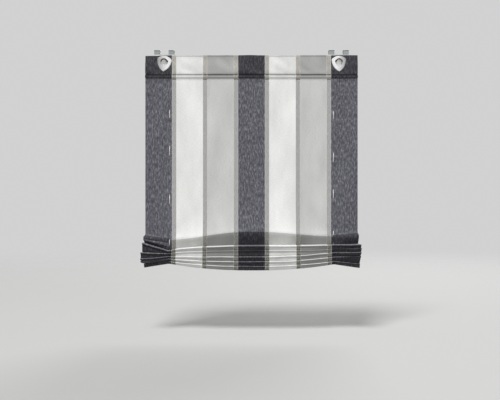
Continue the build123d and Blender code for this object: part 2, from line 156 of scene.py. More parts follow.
# Steps of the cloth's line in each of its stretches, and of each stripe across
BULGE_STEPS = 6
BACK_STEPS = 12
TOP_STEPS = 4
FRONT_STEPS = 5
FLAT_STEPS = 54
SHOULDER_STEPS = 6
BELLY_STEPS = 9
UNDERSIDE_STEPS = 4
BOTTOM_STEPS = 2
INWARD_STEPS = 5
VALLEY_STEPS = 4
LEDGE_STEPS = 6
EDGE_STEPS = 6
LIT_EDGE_STEPS = 3
FACE_STEPS = 3
HEM_STEPS = 4
STRIPE_STEPS = 16

# Unevenness of the cloth: length and height of its waves in millimetres,
# after the row of the noise where that is fixed
EDGE_WAVE = (80.0, 1.2)
DEPTH_WAVE = (70.0, 3.0)
DEPTH_WAVE_ROW = 20
ROLL_WAVE = (40, 50.0, 0.5)
TOP_WAVE = (41, 45.0, 0.8)
WAVE_ROW_STEP = 7.31
WAVE_LEVEL = 0.7
WAVE_FROM_CORD = 40.0

# Ripples of the heading, which slant, and of the hanging cloth, and the runs over which they fade
HEADING_RIPPLE = 5.0
HEADING_FOLDS = (42, 60, 1.3)
HEADING_SLANTS = (0.8, 0.3)
HEADING_FADE = 16.0
HANGING_RIPPLE = 1.1
HANGING_FOLDS = (130, 240, 3.1)
FADE_BELOW_SEAM = 60.0
GATHER_CLEAR = 10.0
FADE_ABOVE_GATHER = 90.0
FADE_FROM_CORD = 30.0

# Regions of the cloth: tones of the dark, white and grey stripes, then the sheer strips' colours and cover;
# the tones and sheer colours paint light and shade
PAINTED_LIGHT_REGIONS = {
    # Painted shade on the heading, belly and pleat faces, painted backlight on the hanging cloth, painted
    # highlight on the folds, painted shadow in the seam's groove
    "heading": ((0.43, 1.03, 0.71), ("#a5a29a", "#c4c1b9"), 0.85),
    "hanging": ((1.07, 1.08, 1.04), ("#5f5e5a", "#96958f"), 0.36),
    "belly": ((0.46, 0.74, 0.54), ("#5d5b51", "#878478"), 0.6),
    "pleat": ((0.28, 0.84, 0.48), ("#55534a", "#7d7a6e"), 0.65),
    "fold": ((1.3, 1.08, 1.22), ("#7b796f", "#a3a094"), 0.6),
    "seam": ((0.05, 0.33, 0.13), ("#4a4943", "#66635a"), 0.9),
}
REGION_ORDER = tuple(PAINTED_LIGHT_REGIONS)
# Rows of painted shadow in the seam's groove reach this far below and above the upper seam
SEAM_REACH = (-6, 2)  # of the seam's dark groove, below and above the upper seam
# Rows of painted shade above the belly on the flaps
FLAP_SHADE_ROWS = 7  # above the belly, beyond the cords
# This pleat's fold and the belly's underside get a painted highlight on the left flap
FLAP_PLEAT = 1  # counted from 0, the pleat whose fold is lit on the left flap alone

# Stripes: dark, middle and light yarn, spread of the flecks, their waves per metre, height of the crepe
YARNS = {
    "dark_melange": ("#36363c", "#5b5b62", "#92929a", 0.24, (210.0, 60.0, 1.0), 0.4),
    "white_crepe": ("#dadad8", "#e5e5e3", "#efefed", 0.2, (110.0, 520.0, 1.0), 2.0),
    "light_grey": ("#b8b8b6", "#c8c8c6", "#d4d4d2", 0.2, (160.0, 520.0, 1.0), 1.6),
}
STRIP_KINDS = (*YARNS, "sheer", "selvedge")
SELVEDGE_COLOURS = ("#b9b9b8", "#dadad8")
SELVEDGE_COVER = 0.12  # more than the sheer strip's
PATCH_TONES = (0.86, 1.04)

# Grain of the materials in waves per metre, and pitch of the weaves in metres
PATCHES = (14.0, 5.0, 1.0)
CREPE_CREASES = (60.0, 420.0, 1.0)
SHEER_THREADS = (700.0, 60.0, 1.0)
BRUSHED_GRAIN = (60.0, 60.0, 900.0)
SATIN_GRAIN = (160.0, 160.0, 160.0)
DRAWN_GRAIN = (4.0, 800.0, 800.0)
WIRE_GRAIN = (900.0, 900.0, 900.0)
MOULDED_GRAIN = (2500.0, 2500.0, 2500.0)
BRAID_STRANDS = (420.0, 420.0, 260.0)
WEAVE_PITCH = 0.0011
SHEER_PITCH = 0.0009

# Hook strip: where its white below the arms ends, and where painted shade starts on the saddle's lip and on
# the arms' tops, in metres
WHITE_EDGE = (-0.0165, -0.0155)
LIP_FACE = (-0.0117, -0.0116)
ARM_TOP = (-0.003, -0.001)

# Coil springs of the cord stops in millimetres, with places along x from the blind's middle
SPRING_START = 308.45
SPRING_LENGTH = 6.0
STOP_Y = 0.2
STOP_Z = -118.0
SPRING_RADIUS = 2.8
SPRING_WIRE_RADIUS = 0.3
SPRING_TURNS = 4
SPRING_STEPS = 14

# Stitches of the tunnel seams in millimetres, with the rings of one stitch as shares of its length and radius
STITCH_RINGS = ((-0.5, 0.25), (-0.36, 0.9), (0.36, 0.9), (0.5, 0.25))
STITCH_SIDES = 6
STITCH_LENGTH = 3.2
STITCH_RADIUS = 0.32
STITCH_PITCH = 4.1
STITCH_LIFT = 0.05
STITCH_WANDER = 0.15
STITCH_SEED = 7
SEAM_OFFSET = 0.6
SEAM_MARGIN = 5.0

# Stage in metres, and the world's strength as light and as the tone that is seen
FLOOR_Z = -1.06
FLOOR_RADIUS = 4.5
FLOOR_FULL = 1.2
FLOOR_SIDES = 64
WORLD_LIGHT = 0.25
WORLD_TONE = 0.64

# Lights: place, size and power, all aimed at one place
LIGHTS = {
    "key": ((-2.6, -5.8, 9.8), 4.0, 1420.0),
    "fill": ((2.6, -4.0, 0.4), 2.5, 34.0),
    "back": ((2.4, 6.0, 3.0), 4.0, 350.0),
}
LIGHT_TARGET = (0, 0, -0.4)

# Camera: metres from the plane where the photo's scale holds, then the photo's scale and shift in pixels
CAMERA_DISTANCE = 3.0
SCALE_PLANE = 0.008
CAMERA_Z = -0.527
SENSOR_WIDTH = 36.0
PICTURE_WIDTH = 500
PIXEL_MM = 3.77
PICTURE_SHIFT = (-1.5, -10.0)

# Lift cords in metres, their knots with shares of a knot's radius
CORD_DIAMETER = 0.003
HEM_KNOT_RADIUS = 0.0032
TAIL_KNOT_RADIUS = 0.0036
KNOT_STEPS = 24
KNOT_STRAND_SHARE = 0.36
KNOT_HEIGHT_SHARE = 0.5
KNOT_TIGHTNESS = 1.6

# Routes of the lift cords: knot in the lowest pleat, stitches, loop over the saddle, tail
ROUTES = {
    "left": (
        (-0.3085, -0.0115, -0.7965),
        (-0.3085, -0.0035, -0.7410),
        (-0.3085, -0.0117, -0.7290),
        (-0.3085, -0.0117, -0.7165),
        (-0.3085, -0.0057, -0.7085),
        (-0.3085, -0.0057, -0.6995),
        (-0.3085, -0.0057, -0.5770),
        (-0.3085, -0.0101, -0.5655),
        (-0.3085, -0.0101, -0.5575),
        (-0.3085, -0.0057, -0.5460),
        (-0.3085, -0.0057, -0.3930),
        (-0.3085, -0.0101, -0.3815),
        (-0.3085, -0.0101, -0.3735),
        (-0.3085, -0.0057, -0.3620),
        (-0.3085, -0.0057, -0.2540),
        (-0.3085, -0.0101, -0.2425),
        (-0.3085, -0.0101, -0.2345),
        (-0.3085, -0.0057, -0.2230),
        (-0.3182, 0.0002, -0.1920),
        (-0.3182, 0.0002, -0.0830),
        (-0.3182, -0.0033, -0.0540),
        (-0.3182, -0.0033, -0.0322),
        (-0.3418, -0.0033, -0.0322),
        (-0.3418, -0.0033, -0.0540),
        (-0.3217, 0.0002, -0.0830),
        (-0.3217, 0.0002, -0.1920),
        (-0.3217, 0.0057, -0.2640),
        (-0.3217, 0.0057, -0.7520),
    ),
    "right": (
        (0.3085, -0.0115, -0.7970),
        (0.3085, -0.0040, -0.7040),
        (0.3085, -0.0107, -0.6945),
        (0.3085, -0.0107, -0.6880),
        (0.3085, -0.0057, -0.6800),
        (0.3085, -0.0057, -0.6720),
        (0.3085, -0.0057, -0.5560),
        (0.3085, -0.0101, -0.5445),
        (0.3085, -0.0101, -0.5365),
        (0.3085, -0.0057, -0.5250),
        (0.3085, -0.0057, -0.4190),
        (0.3085, -0.0101, -0.4075),
        (0.3085, -0.0101, -0.3995),
        (0.3085, -0.0057, -0.3880),
        (0.3085, -0.0057, -0.2580),
        (0.3085, -0.0101, -0.2465),
        (0.3085, -0.0101, -0.2385),
        (0.3085, -0.0057, -0.2270),
        (0.3182, 0.0002, -0.1920),
        (0.3182, 0.0002, -0.0830),
        (0.3182, -0.0033, -0.0540),
        (0.3182, -0.0033, -0.0322),
        (0.3418, -0.0033, -0.0322),
        (0.3418, -0.0033, -0.0540),
        (0.3217, 0.0002, -0.0830),
        (0.3217, 0.0002, -0.1920),
        (0.3217, 0.0057, -0.2640),
        (0.3217, 0.0057, -0.7520),
    ),
}


# Materials


def srgb(text):
    """Linear colour with full cover from a hex colour."""
    parts = [int(text[i : i + 2], 16) / 255 for i in (1, 3, 5)]
    return tuple(c / 12.92 if c <= 0.04045 else ((c + 0.055) / 1.055) ** 2.4 for c in parts) + (1.0,)


class Nodes:
    """A new node material with its Principled shader, and short calls to add and join nodes."""

    def __init__(self, name, roughness, metallic=0.0):
        self.material = bpy.data.materials.new(name)
        self.material.use_nodes = True
        self.tree = self.material.node_tree
        self.shader = self.tree.nodes["Principled BSDF"]
        self.shader.inputs["Roughness"].default_value = roughness
        self.shader.inputs["Metallic"].default_value = metallic

    def add(self, kind, **values):
        node = self.tree.nodes.new(kind)
        for key, value in values.items():
            if key in node.inputs:
                node.inputs[key].default_value = value
            else:
                setattr(node, key, value)
        return node

    def join(self, output, target):
        self.tree.links.new(output, target)

    def base_colour(self, colour):
        self.join(colour, self.shader.inputs["Base Color"])

    def coordinates(self, scale, source="UV"):
        where = self.add("ShaderNodeTexCoord")
        mapping = self.add("ShaderNodeMapping", Scale=scale)
        self.join(where.outputs[source], mapping.inputs["Vector"])
        return mapping.outputs["Vector"]

    def split(self, vector):
        """The X, Y and Z of a vector, by name."""
        node = self.add("ShaderNodeSeparateXYZ")
        self.join(vector, node.inputs[0])
        return node.outputs

    def calculate(self, operation, *values):
        """Result of a math node, whose values are floats or other nodes' outputs."""
        node = self.add("ShaderNodeMath", operation=operation)
        for value, target in zip(values, node.inputs):
            if isinstance(value, float):
                target.default_value = value
            else:
                self.join(value, target)
        return node.outputs[0]

    def span(self, value, start, end, low=0.0, high=1.0, interpolation="LINEAR"):
        """Result that goes from low to high while the value goes from start to end."""
        node = self.add("ShaderNodeMapRange", interpolation_type=interpolation)
        for socket, number in zip(("From Min", "From Max", "To Min", "To Max"), (start, end, low, high)):
            node.inputs[socket].default_value = number
        self.join(value, node.inputs["Value"])
        return node.outputs["Result"]

    def noise(self, vector, detail=2.0, roughness=0.5):
        node = self.add("ShaderNodeTexNoise", Scale=1.0, Detail=detail, Roughness=roughness)
        self.join(vector, node.inputs["Vector"])
        return node.outputs["Fac"]

    def ramp(self, factor, stops):
        node = self.add("ShaderNodeValToRGB")
        elements = node.color_ramp.elements
        while len(elements) < len(stops):
            elements.new(0.5)
        for element, (place, colour) in zip(elements, stops):
            element.position = place
            element.color = colour
        self.join(factor, node.inputs["Fac"])
        return node.outputs["Color"]

    def tones(self, factor, dark, light, low=0.3, high=0.7):
        """Colour that goes from one hex colour to another."""
        return self.ramp(factor, [(low, srgb(dark)), (high, srgb(light))])

    def mix(self, factor, first, second, blend="MIX"):
        node = self.add("ShaderNodeMix", data_type="RGBA", blend_type=blend)
        if isinstance(factor, float):
            node.inputs[0].default_value = factor
        else:
            self.join(factor, node.inputs[0])
        self.join(first, node.inputs[6])
        self.join(second, node.inputs[7])
        return node.outputs[2]

    def bump(self, height, distance, strength):
        node = self.add("ShaderNodeBump", Strength=strength, Distance=distance)
        self.join(height, node.inputs["Height"])
        self.join(node.outputs["Normal"], self.shader.inputs["Normal"])


def weave_height(nodes, pitch):
    """Height of a plain weave: warp and weft waves of one pitch, in metres of cloth."""
    scale = math.pi / pitch
    threads = nodes.split(nodes.coordinates((scale, scale, 1.0)))
    waves = [nodes.calculate("SINE", threads[axis]) for axis in ("X", "Y")]
    return nodes.calculate("MULTIPLY", *waves)


def woven(name, dark, base, light, spread, fleck, crepe, tone):
    """Opaque woven cloth: flecked yarn colours, slow tone changes and a weave relief, all scaled by a tone
    that paints the region's light and shade.
    """
    nodes = Nodes(name, roughness=0.85)
    flecks = nodes.noise(nodes.coordinates(fleck), detail=3.0, roughness=0.7)
    stops = [(0.5 - spread, srgb(dark)), (0.5, srgb(base)), (0.5 + spread, srgb(light))]
    patches = nodes.noise(nodes.coordinates(PATCHES))
    low, high = [tone * share for share in PATCH_TONES]
    toned = nodes.ramp(patches, [(0.3, (low, low, low, 1)), (0.7, (high, high, high, 1))])
    nodes.base_colour(nodes.mix(1.0, nodes.ramp(flecks, stops), toned, "MULTIPLY"))
    nodes.shader.inputs["Specular IOR Level"].default_value = 0.2
    nodes.shader.inputs["Sheen Weight"].default_value = 0.08
    nodes.shader.inputs["Sheen Roughness"].default_value = 0.5
    creases = nodes.noise(nodes.coordinates(CREPE_CREASES))
    relief = nodes.calculate("MULTIPLY_ADD", creases, crepe, weave_height(nodes, WEAVE_PITCH))
    nodes.bump(relief, distance=0.00005, strength=0.6)
    return nodes.material


def sheer_cloth(name, dark, light, cover):
    """Thin cloth that lets what is behind it show through."""
    nodes = Nodes(name, roughness=0.7)
    threads = nodes.noise(nodes.coordinates(SHEER_THREADS))
    nodes.base_colour(nodes.tones(threads, dark, light, low=0.35, high=0.65))
    nodes.shader.inputs["Alpha"].default_value = cover
    nodes.bump(weave_height(nodes, SHEER_PITCH), distance=0.00004, strength=0.5)
    return nodes.material


def stripe_materials(region, tones, sheer, cover):
    """Materials of one region's dark, white and grey stripes, sheer strips and selvedges, in that region's
    tones and sheer colours of painted light and shade.
    """
    stripes = [woven(f"{region}_{name}", *yarn, tone) for (name, yarn), tone in zip(YARNS.items(), tones)]
    return (
        *stripes,
        sheer_cloth(f"{region}_sheer", *sheer, cover),
        sheer_cloth(f"{region}_selvedge", *SELVEDGE_COLOURS, cover + SELVEDGE_COVER),
    )


def metal(name, dark, light, roughness, grain, relief):
    nodes = Nodes(name, roughness, metallic=1.0)
    streaks = nodes.noise(nodes.coordinates(grain, "Object"), detail=4.0, roughness=0.6)
    nodes.base_colour(nodes.tones(streaks, dark, light))
    rough = nodes.span(streaks, 0.0, 1.0, roughness * 0.8, roughness * 1.25)
    nodes.join(rough, nodes.shader.inputs["Roughness"])
    nodes.bump(streaks, distance=relief, strength=0.3)
    return nodes.material


def hook_strip_colours():
    """Hook strip of brushed steel: white below its arms, which also stands in for bright light seen through
    the eyelet holes; painted shade on the arms' tops and on the saddle's lip.
    """
    nodes = Nodes("hook_strip", roughness=0.4, metallic=0.2)
    grain = nodes.noise(nodes.coordinates(BRUSHED_GRAIN, "Object"), detail=4.0, roughness=0.6)
    bare = nodes.tones(grain, "#8b9192", "#a9afaf")
    # Painted shade: dark steel on the arms' tops and on the saddle's lip
    lip = nodes.tones(grain, "#3a3533", "#544e4a")
    # White below the arms, which also stands in for bright light seen through the eyelet holes
    white_below_arms = nodes.tones(grain, "#f0f0ee", "#f8f8f6")
    place = nodes.split(nodes.coordinates((1.0, 1.0, 1.0), "Object"))
    arms = nodes.mix(nodes.span(place["Z"], *ARM_TOP), bare, lip)
    strip = nodes.mix(nodes.span(place["Z"], *WHITE_EDGE), white_below_arms, arms)
    nodes.base_colour(nodes.mix(nodes.span(place["Y"], *LIP_FACE), lip, strip))
    nodes.bump(grain, distance=0.00003, strength=0.3)
    return nodes.material


def eyelet_silver():
    """Satin silver with a painted reflection: bright towards the middle of the blind and painted grey shade
    towards its edges.
    """
    nodes = Nodes("satin_silver", roughness=0.28, metallic=0.25)
    grain = nodes.noise(nodes.coordinates(SATIN_GRAIN, "Object"), detail=4.0, roughness=0.6)
    place = nodes.split(nodes.coordinates((1.0, 1.0, 1.0), "Object"))
    outward = nodes.calculate("ABSOLUTE", place["X"])
    # Painted reflection: bright on the side towards the blind's middle, painted shade on the side towards its
    # edges
    turn = nodes.span(outward, *[(EYELET_X + offset) * MM for offset in SILVER_SHADE_TURN])
    bright = nodes.tones(grain, "#ececee", "#fbfbfb")
    grey = nodes.tones(grain, "#9c9a9c", "#b4b2b3")
    nodes.base_colour(nodes.mix(turn, bright, grey))
    nodes.bump(grain, distance=0.00002, strength=0.3)
    return nodes.material


def plastic(name, dark, light):
    nodes = Nodes(name, roughness=0.42)
    speckle = nodes.noise(nodes.coordinates(MOULDED_GRAIN, "Object"))
    nodes.base_colour(nodes.tones(speckle, dark, light))
    nodes.bump(speckle, distance=0.00003, strength=0.4)
    return nodes.material


def braided(name, dark, light):
    nodes = Nodes(name, roughness=0.8)
    bands = nodes.add("ShaderNodeTexWave", wave_type="BANDS", bands_direction="DIAGONAL")
    bands.inputs["Scale"].default_value = 1.0
    bands.inputs["Distortion"].default_value = 1.5
    nodes.join(nodes.coordinates(BRAID_STRANDS, "Object"), bands.inputs["Vector"])
    nodes.base_colour(nodes.tones(bands.outputs["Fac"], dark, light, low=0.1, high=0.6))
    nodes.bump(bands.outputs["Fac"], distance=0.0003, strength=0.7)
    return nodes.material


# Cloth materials in each region's tones of painted light and shade
cloth_materials = []
for region, looks in PAINTED_LIGHT_REGIONS.items():
    cloth_materials += stripe_materials(region, *looks)
silver = eyelet_silver()
steel = hook_strip_colours()
aluminium = metal("drawn_tube", "#a9abad", "#c9cacb", roughness=0.32, grain=DRAWN_GRAIN, relief=0.00003)
spring_wire = metal("spring_wire", "#77797c", "#a5a7a9", roughness=0.3, grain=WIRE_GRAIN, relief=0.00002)
white_plastic = plastic("white_plastic", "#d2d2cf", "#dededb")
cord_white = braided("white_braid", "#c9c9c6", "#f0f0ee")
seam_thread = braided("seam_thread", "#3c3c40", "#63636a")


# The cloth


def add_object(name, data):
    piece = bpy.data.objects.new(name, data)
    bpy.context.scene.collection.objects.link(piece)
    return piece


def smooth(share):
    return share * share * (3 - 2 * share)


def rise(distance, start, run, least=0.0):
    """Share that grows from least to 1 as the distance goes from start over the run."""
    return min(1.0, max(least, (distance - start) / run))


def mixed(first, second, share):
    return [a + (b - a) * share for a, b in zip(first, second)]


def wave(x, row, size, amount):
    return amount * noise.noise(Vector((x / size, row * WAVE_ROW_STEP, WAVE_LEVEL)))


def side_of(x):
    return "left" if x < 0 else "right"


def gather_at(x):
    """Heights of the belly, the pleat edges and the hem at x, then pleat depths, bulge, run and tuck."""
    near, far = side_of(x) + "_cord", "centre"
    away = 1 - (x / CORD_X) ** 2
    if away < 0:
        far = side_of(x) + "_edge"
        away = (abs(x) - CORD_X) / (WIDTH / 2 - CORD_X)
        top_away, belly_away = away, away
    else:
        top_away, belly_away = away**TOP_PLEATS_POWER, away**BELLY_POWER
    depth_away = min(1.0, away * DEPTH_RATE)
    shares = mixed((BELLY[near],), (BELLY[far],), belly_away)
    shares += mixed(PLEATS[near][:TOP_PLEATS], PLEATS[far][:TOP_PLEATS], top_away)
    shares += mixed((*PLEATS[near][TOP_PLEATS:], HEM[near]), (*PLEATS[far][TOP_PLEATS:], HEM[far]), away)
    heights = [GATHER_TOP - GATHER * share for share in shares]
    depths = mixed(PLEAT_DEPTH[near], PLEAT_DEPTH[far], depth_away)
    bulge, tuck = mixed((BULGE[near], TUCK_DEPTH[near]), (BULGE[far], TUCK_DEPTH[far]), depth_away)
    run = BELLY_RUN[near] + (BELLY_RUN[far] - BELLY_RUN[near]) * away
    loose = rise(abs(abs(x) - CORD_X), 0.0, WAVE_FROM_CORD)
    for row in range(1, len(heights) - 1):
        heights[row] += wave(x, row, *EDGE_WAVE) * loose
    for row in range(len(depths)):
        depths[row] += wave(x, row + DEPTH_WAVE_ROW, *DEPTH_WAVE) * loose
    return heights[0], heights[1:-1], heights[-1], depths, bulge, run, tuck


def arc(centre, radius, start, turn, steps):
    angles = [math.radians(start + turn * step / steps) for step in range(steps + 1)]
    return [(centre[0] + radius * math.cos(a), centre[1] + radius * math.sin(a)) for a in angles]


def line(start, end, steps):
    """Points between two ends, without them."""
    return [tuple(mixed(start, end, step / steps)) for step in range(1, steps)]


def curve_to(start, pull, end, steps):
    """Points of a quadratic curve, without its start."""
    shares = [step / steps for step in range(1, steps + 1)]
    return [tuple(mixed(mixed(start, pull, t), mixed(pull, end, t), t)) for t in shares]


def heading(x):
    """The doubled heading: up the back from under the rod tunnel, over the top edge and down the front."""
    half = LAYER / 2
    half_tunnel = TUNNEL_Z - LOWER_SEAM
    seam = math.hypot(half, half_tunnel)
    tangent = math.degrees(math.atan2(half_tunnel, half) - math.acos(TUNNEL_RADIUS / seam))
    top = TOP_Z - half - DROOP * smooth(rise(-x, DROOP_START, DROOP_RUN)) + wave(x, *TOP_WAVE)
    from_eyelet = rise(abs(abs(x) - EYELET_X), ROLL_FROM_EYELET, EYELET_RUN, LEAST_ROLL)
    roll = (ROLL + wave(x, *ROLL_WAVE)) * smooth(from_eyelet)
    points = [(-half, LOWER_SEAM - HEADING_TAIL), (-half, LOWER_SEAM)]
    points += [(-d, z) for d, z in arc((0, TUNNEL_Z), TUNNEL_RADIUS, -tangent, 2 * tangent, BULGE_STEPS)]
    points += [(-half, UPPER_SEAM)] + line((-half, UPPER_SEAM), (-half, top), BACK_STEPS)
    points += arc((0, top), half, 180, -180, TOP_STEPS)
    points += line((half, top), (half, ROLL_TOP), FRONT_STEPS) + [(half, ROLL_TOP)]
    points += [(half + d * roll, z) for d, z in ROLL_PROFILE]
    points += [(half, UPPER_SEAM - GROOVE_DROP)]
    points += [(half + TUNNEL_START_OUT, UPPER_SEAM - TUNNEL_START_DROP)]
    points += arc((0, TUNNEL_Z), TUNNEL_RADIUS, tangent, -2 * tangent, BULGE_STEPS)
    return points + [(half, LOWER_SEAM)]


def column(x):
    """The cloth's middle line at x as (forward, height) points, from the heading's back down to the hem."""
    flat = LAYER / 2
    belly, pleats, hem, depths, bulge, run, tuck_depth = gather_at(x)
    points = heading(x)
    start = (flat, belly + run)
    points += line(points[-1], start, FLAT_STEPS) + [start]
    ledge = pleats[0] + PLEAT_RADIUS + LEDGE_RISE
    tuck = (tuck_depth, ledge + 2 * VALLEY_RADIUS + BOTTOM_RADIUS)
    pull = (flat + bulge * PULL_OUT_SHARE, belly + run * PULL_RISE_SHARE)
    shoulder = (flat + bulge * SHOULDER_OUT_SHARE, belly + min(SHOULDER_RISE, run * SHOULDER_RISE_SHARE))
    corner = (flat + bulge * CORNER_OUT_SHARE, belly)
    under = tuple(mixed(corner, tuck, UNDERSIDE_SHARE))
    points += curve_to(start, pull, shoulder, SHOULDER_STEPS)
    points += curve_to(shoulder, corner, under, BELLY_STEPS)
    crease = CREASE[side_of(x)] * rise(abs(x), CORD_X, CREASE_RUN)
    underside = line(under, tuck, UNDERSIDE_STEPS)
    points += [(d + crease * share, z) for (d, z), share in zip(underside, CREASE_SHARES)]
    for number, (height, depth) in enumerate(zip(pleats, depths)):
        points += arc((tuck[0] - BOTTOM_RADIUS, tuck[1]), BOTTOM_RADIUS, 0, -90, BOTTOM_STEPS)
        valley = (VALLEY_DEPTH, height + PLEAT_RADIUS + LEDGE_RISE + VALLEY_RADIUS)
        points += line(points[-1], (valley[0], valley[1] + VALLEY_RADIUS), INWARD_STEPS)
        points += arc(valley, VALLEY_RADIUS, 90, 180, VALLEY_STEPS)
        edge = arc((depth - PLEAT_RADIUS, height), PLEAT_RADIUS, 90, EDGE_TURN, EDGE_STEPS)
        points += line(points[-1], edge[0], LEDGE_STEPS) + edge
        if number + 1 < len(pleats):
            below, reach = pleats[number + 1], depths[number + 1]
            under = (depth - UNDERCUT, height - UNDERCUT_DROP)
            front = min(reach - FACE_GAP[number], under[0])
            ledge_rise = LEDGE_RISE * (reach - front) / (reach - VALLEY_DEPTH)
            tuck = (front, below + PLEAT_RADIUS + ledge_rise + 2 * VALLEY_RADIUS + BOTTOM_RADIUS)
            points += [under] + line(under, tuck, FACE_STEPS)
    last = (depths[-1] - UNDERCUT, hem + HEM_RADIUS)
    points += line(edge[-1], last, HEM_STEPS)
    points += arc((last[0] - HEM_RADIUS, last[1]), HEM_RADIUS, 0, -180, HEM_STEPS)
    return points + [(last[0] - 2 * HEM_RADIUS, hem + HEM_TURN_UP)]


def fold_highlight_rows():
    """Rows of the pleats' ledges and upper edges, which get a painted highlight where one layer catches the
    light.

    The second list holds those that get a painted highlight on the left flap alone: one pleat and the belly's
    underside.
    """
    first = len(heading(0.0)) + FLAT_STEPS + SHOULDER_STEPS + BELLY_STEPS + UNDERSIDE_STEPS - 1
    to_ledge = BOTTOM_STEPS + INWARD_STEPS + VALLEY_STEPS
    pleat = to_ledge + LEDGE_STEPS + EDGE_STEPS + FACE_STEPS + 1
    folds = []
    for number in range(len(PLEATS["centre"])):
        ledge = first + number * pleat + to_ledge
        folds.append(range(ledge, ledge + LEDGE_STEPS + LIT_EDGE_STEPS))
    underside = first - UNDERSIDE_STEPS
    flap = [*folds.pop(FLAP_PLEAT), underside, underside + 1]
    return [row for fold in folds for row in fold], flap


def seam_shadow_rows():
    """Rows of the groove between the heading and the rod tunnel, on the room side, which get a painted
    shadow.
    """
    points = heading(0.0)
    top = max(range(len(points)), key=lambda row: points[row][1])
    low, high = [UPPER_SEAM + reach for reach in SEAM_REACH]
    return [row for row in range(top, len(points) - 1) if points[row + 1][1] > low and points[row][1] < high]


def strip_columns():
    """Places across the cloth, each with the number of the kind of strip to its right."""
    sheer, selvedge = STRIP_KINDS.index("sheer"), STRIP_KINDS.index("selvedge")
    stripe = (WIDTH - (STRIPES - 1) * SHEER) / STRIPES
    left = -WIDTH / 2
    places = []
    for number in range(STRIPES):
        kind = number % len(YARNS)
        places += [(left + stripe * step / STRIPE_STEPS, kind) for step in range(STRIPE_STEPS)]
        left += stripe
        if number + 1 < STRIPES:
            places += [(left, selvedge), (left + SELVEDGE, sheer)]
            places += [(left + SHEER / 2, sheer), (left + SHEER - SELVEDGE, selvedge)]
            left += SHEER
    return places + [(WIDTH / 2, 0)]


def hang(x, forward, height):
    """Lays a cloth point in the frame: pleats fan out beyond the cords, hanging cloth is never quite flat."""
    side = side_of(x)
    away = max(0.0, (abs(x) - CORD_X) / (WIDTH / 2 - CORD_X))
    flare = math.radians(FLARE[side]) * away
    out = max(forward, 0.0) * math.sin(flare) * SIDES[side]
    if height > UPPER_SEAM:
        across, down, level = HEADING_FOLDS
        lean, tilt = HEADING_SLANTS
        clear = smooth(rise(abs(abs(x) - EYELET_X), RIPPLE_FROM_EYELET, EYELET_RUN))
        place = Vector(((x + lean * height) / across, (height - tilt * x) / down, level))
        ripple = HEADING_RIPPLE * clear * noise.noise(place)
        ripple *= rise(height, UPPER_SEAM, HEADING_FADE)
    elif height > LOWER_SEAM:
        ripple = 0.0
    else:
        across, down, level = HANGING_FOLDS
        fade = rise(LOWER_SEAM - height, 0.0, FADE_BELOW_SEAM)
        fade *= rise(height - GATHER_TOP, GATHER_CLEAR, FADE_ABOVE_GATHER)
        fade *= rise(abs(abs(x) - CORD_X), 0.0, FADE_FROM_CORD)
        ripple = fade * HANGING_RIPPLE * noise.noise(Vector((x / across, height / down, level)))
    return ((x + out) * MM, -(STANDOFF + forward * math.cos(flare) + ripple) * MM, height * MM)


def in_eyelet_hole(x, height):
    aside, above = abs(x) - EYELET_X, (height - HOLE_Z) * HOLE_SQUASH
    return height > UPPER_SEAM and math.hypot(aside, above) < HOLE_RADIUS


def region_finder(outer_column):
    """A function that names the region of the face in a row of the cloth, at x and in a kind of strip; each
    region's tones paint light and shade.
    """
    heading_rows = len(heading(0.0)) - 1
    shoulder_row = heading_rows + FLAT_STEPS + SHOULDER_STEPS
    belly_row = shoulder_row + BELLY_STEPS // 2
    pleat_row = shoulder_row + BELLY_STEPS + UNDERSIDE_STEPS
    # Painted shade on the heading, the belly and the pleat faces, painted backlight on the hanging cloth
    regions = ["heading"] * heading_rows
    regions += ["hanging"] * (belly_row - heading_rows)
    regions += ["belly"] * (pleat_row - belly_row)
    regions += ["pleat"] * (len(outer_column) - pleat_row)
    folds, flap_highlights = fold_highlight_rows()
    # Painted highlight on the folds, painted shadow in the seam's groove
    for row in folds:
        regions[row] = "fold"
    for row in seam_shadow_rows():
        regions[row] = "seam"
    # Painted shade along the heading's top edge
    top_row = max(range(heading_rows), key=lambda row: outer_column[row][1])
    top_edge_shade = range(top_row, top_row + TOP_STEPS)
    flap_shade = range(belly_row - FLAP_SHADE_ROWS, belly_row)

    def region_at(row, x, kind):
        # Painted shade along the top edge of the stripes, and above the belly beyond the cords
        if row in top_edge_shade and kind < len(YARNS) or abs(x) > CORD_X and row in flap_shade:
            return "belly"
        # Painted highlight on the left flap's lit pleat and belly underside
        if x < -CORD_X and row in flap_highlights:
            return "fold"
        return regions[row]

    return region_at


